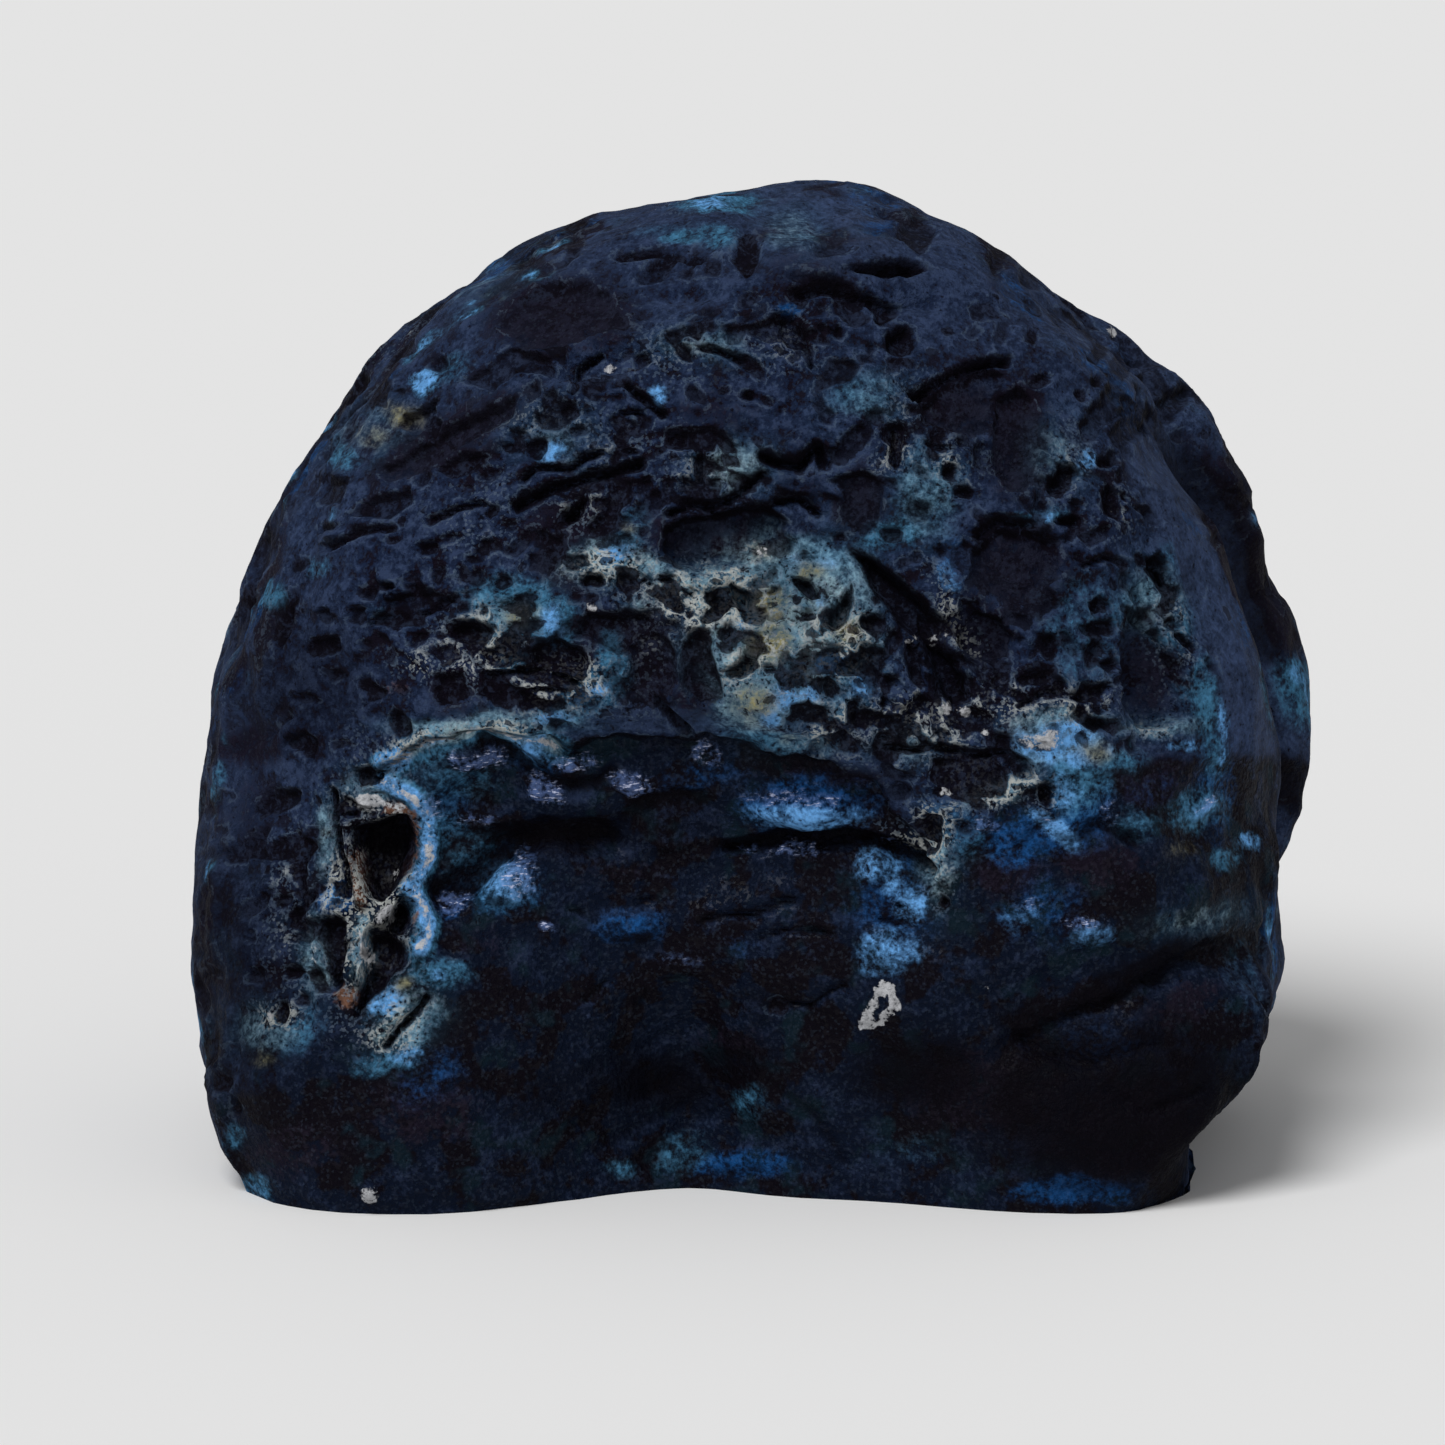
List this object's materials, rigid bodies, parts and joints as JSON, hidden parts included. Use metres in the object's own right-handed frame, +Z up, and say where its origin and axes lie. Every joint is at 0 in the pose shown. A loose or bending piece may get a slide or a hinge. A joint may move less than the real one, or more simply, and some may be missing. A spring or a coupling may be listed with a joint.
{
  "type": "dyed agate geode",
  "caption": "Rounded agate nodule dyed blue, with a pitted rind, an arched ledge over a smooth recess, an agate-rimmed cavity and a flat sawn base to stand on.",
  "frame": {"origin": "middle of the flat sawn base, under the centre of the stone's outline", "axes": "+Z up from the sawn base, -Y out of the broad pitted face, +X to the right of that face"},
  "size_m": [0.1168, 0.0804, 0.101],
  "materials": {
    "dyed_agate": "matte pitted rind in navy and purple-black, with slate-blue shoulders, teal and light blue patches, cream worn edges and a slightly glossy lower recess"
  },
  "bodies": {
    "root": {"geode": "dyed_agate"}
  },
  "joints": []
}
